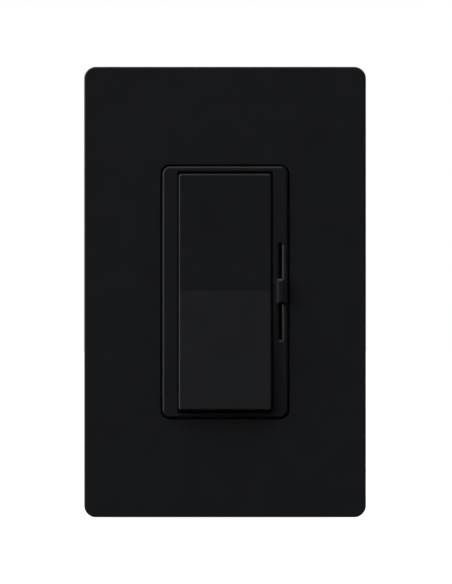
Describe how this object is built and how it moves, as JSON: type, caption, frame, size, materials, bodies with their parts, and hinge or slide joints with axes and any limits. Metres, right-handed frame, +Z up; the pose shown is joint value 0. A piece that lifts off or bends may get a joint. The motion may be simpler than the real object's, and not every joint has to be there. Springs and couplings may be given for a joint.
{
  "type": "dimmer slide switch",
  "caption": "Wall dimmer with a screwless plate, a tall rocking paddle for on and off, and a small knob that slides in a slot beside it.",
  "frame": {"origin": "midway between the two box screws, on the wall plane at the back of the yoke", "axes": "+Z up along the plate's long side, +X to the right seen from the front, +Y into the wall, so the front faces -Y"},
  "size_m": [0.0746, 0.0389, 0.1194],
  "materials": {
    "cover_plastic": "satin black moulded plastic",
    "frame_plastic": "satin black moulded plastic",
    "paddle_plastic": "smooth black moulded plastic",
    "knob_plastic": "smooth black moulded plastic",
    "adapter_plastic": "matt black moulded plastic",
    "housing_plastic": "matt black thermoset",
    "yoke_metal": "satin",
    "zinc_screw": "zinc plated",
    "pin_steel": "ground",
    "spring_steel": "drawn wire",
    "retainer_fibre": "pale fibre sheet",
    "acetal": "natural acetal",
    "brass_strip": "stamped",
    "copper_alloy": "stamped copper alloy",
    "contact_silver": "satin",
    "base_phenolic": "brown phenolic",
    "pot_plastic": "matt black",
    "carbon_track": "carbon film",
    "board_laminate": "green glass laminate",
    "epoxy_black": "moulded epoxy",
    "thermal_pad": "soft pad",
    "ferrite": "sintered",
    "winding_copper": "enamelled",
    "capacitor_yellow": "moulded case",
    "capacitor_blue": "dipped case",
    "diac_glass": "glass bead",
    "resistor_body": "lacquered",
    "brass_screw": "bright",
    "dark_screw": "black oxide",
    "green_screw": "green dyed"
  },
  "bodies": {
    "chassis": {"wall_plate_cover": "cover_plastic", "adapter_plate": "adapter_plastic", "adapter_screws": "zinc_screw", "yoke": "yoke_metal", "box_screws": "zinc_screw", "screw_retainers": "retainer_fibre", "face_frame": "frame_plastic", "pivot_pins": "pin_steel", "contact_cradle": "brass_strip", "contact_strip_upper": "brass_strip", "contact_strip_lower": "brass_strip", "fixed_contacts": "contact_silver", "switch_base": "base_phenolic", "potentiometer_body": "pot_plastic", "potentiometer_track": "carbon_track", "circuit_board": "board_laminate", "triac": "epoxy_black", "triac_pad": "thermal_pad", "triac_screw": "zinc_screw", "choke_core": "ferrite", "choke_winding": "winding_copper", "film_capacitor": "capacitor_yellow", "timing_capacitor": "capacitor_blue", "diac": "diac_glass", "resistors": "resistor_body", "rear_housing": "housing_plastic", "housing_screws": "zinc_screw", "terminal_plates": "brass_strip", "traveller_screws": "brass_screw", "common_screw": "dark_screw", "ground_screw": "green_screw"},
    "paddle_body": {"paddle": "paddle_plastic"},
    "plunger_body": {"plunger": "acetal", "plunger_spring": "spring_steel"},
    "rocker_body": {"contact_rocker": "copper_alloy", "moving_contacts": "contact_silver"},
    "slider_body": {"slider_knob": "knob_plastic", "slider_carriage": "acetal", "slider_wiper": "copper_alloy"}
  },
  "joints": [
    {"name": "paddle_rock", "type": "hinge", "parent": "chassis", "child": "paddle_body", "pos_m": [0, -0.0032, 0], "axis": [1, 0, 0], "range_deg": [0, 5]},
    {"name": "plunger_slide", "type": "slide", "parent": "paddle_body", "child": "plunger_body", "axis": [0, -0.999, 0.0436], "range_m": [0, 0.0008], "stiffness_N_per_m": 800, "deforming": ["plunger_spring"]},
    {"name": "contact_rock", "type": "hinge", "parent": "chassis", "child": "rocker_body", "pos_m": [0, 0.01183, 0], "axis": [1, 0, 0], "range_deg": [-10, 0]},
    {"name": "slider_travel", "type": "slide", "parent": "chassis", "child": "slider_body", "axis": [0, 0, 1], "range_m": [-0.0111, 0.0105]}
  ],
  "couplings": [
    {"joint": "contact_rock", "follows": "paddle_rock", "ratio": -2}
  ]
}
